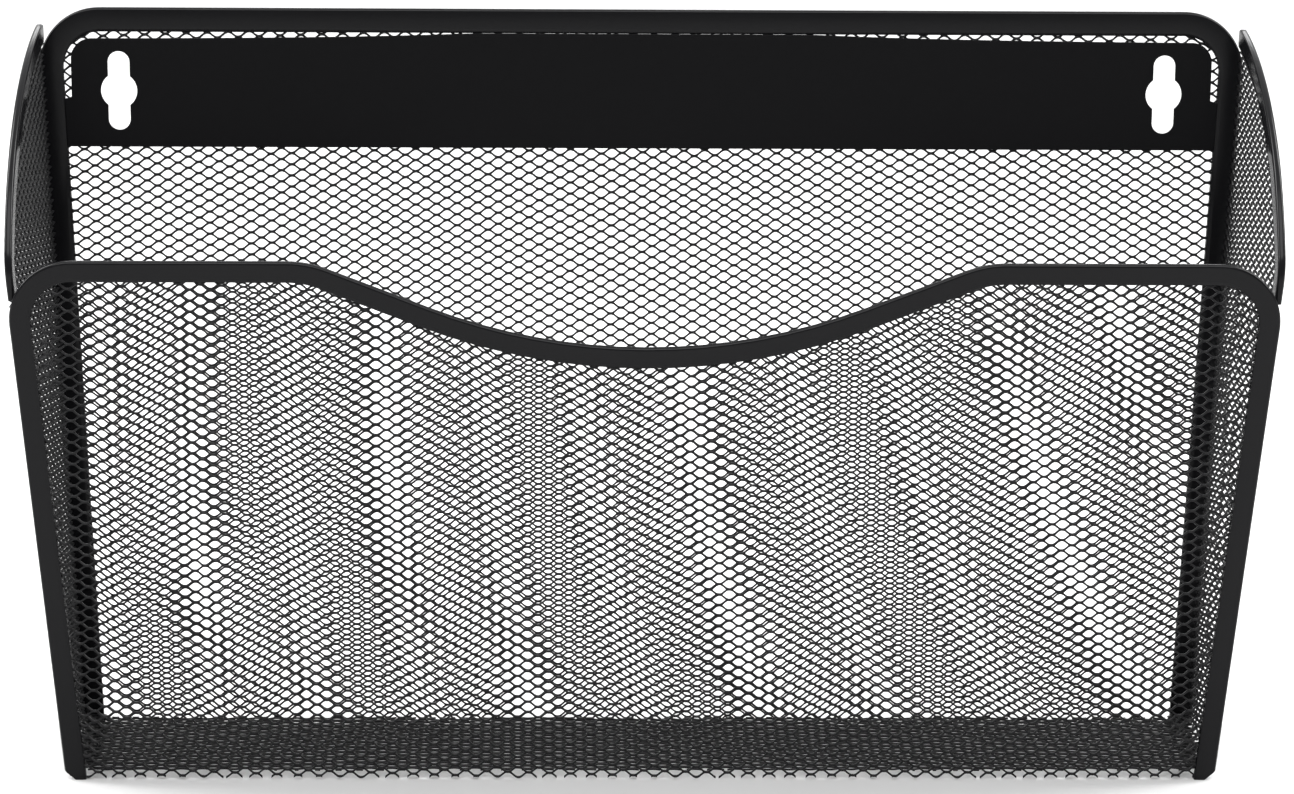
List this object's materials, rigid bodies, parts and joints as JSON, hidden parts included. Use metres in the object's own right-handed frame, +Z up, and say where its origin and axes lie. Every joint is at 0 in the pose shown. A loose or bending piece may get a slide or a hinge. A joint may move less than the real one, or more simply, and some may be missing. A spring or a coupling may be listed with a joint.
{
  "type": "wall file pocket",
  "caption": "Hanging file rack: an open-topped expanded-steel pocket with a scooped front, channel rims and a mounting plate with keyholes.",
  "frame": {"origin": "bottom centre of the rack's bounding box, on the plane that its flat bottom and the rim feet stand on", "axes": "+X to the right as seen from the front, +Y towards the wall, +Z up; the pocket's scooped front faces -Y"},
  "size_m": [0.3576, 0.0807, 0.2188],
  "materials": {
    "mesh_coat": "black powder coat on expanded steel, semi-matt",
    "rim_coat": "black powder coat on steel channel, satin",
    "plate_coat": "black powder coat on steel sheet, satin"
  },
  "bodies": {
    "root": {"back_mesh": "mesh_coat", "front_mesh": "mesh_coat", "bottom_mesh": "mesh_coat", "left_side_mesh": "mesh_coat", "right_side_mesh": "mesh_coat", "back_rim": "rim_coat", "front_rim": "rim_coat", "left_side_rim": "rim_coat", "right_side_rim": "rim_coat", "mounting_plate": "plate_coat"}
  },
  "joints": []
}
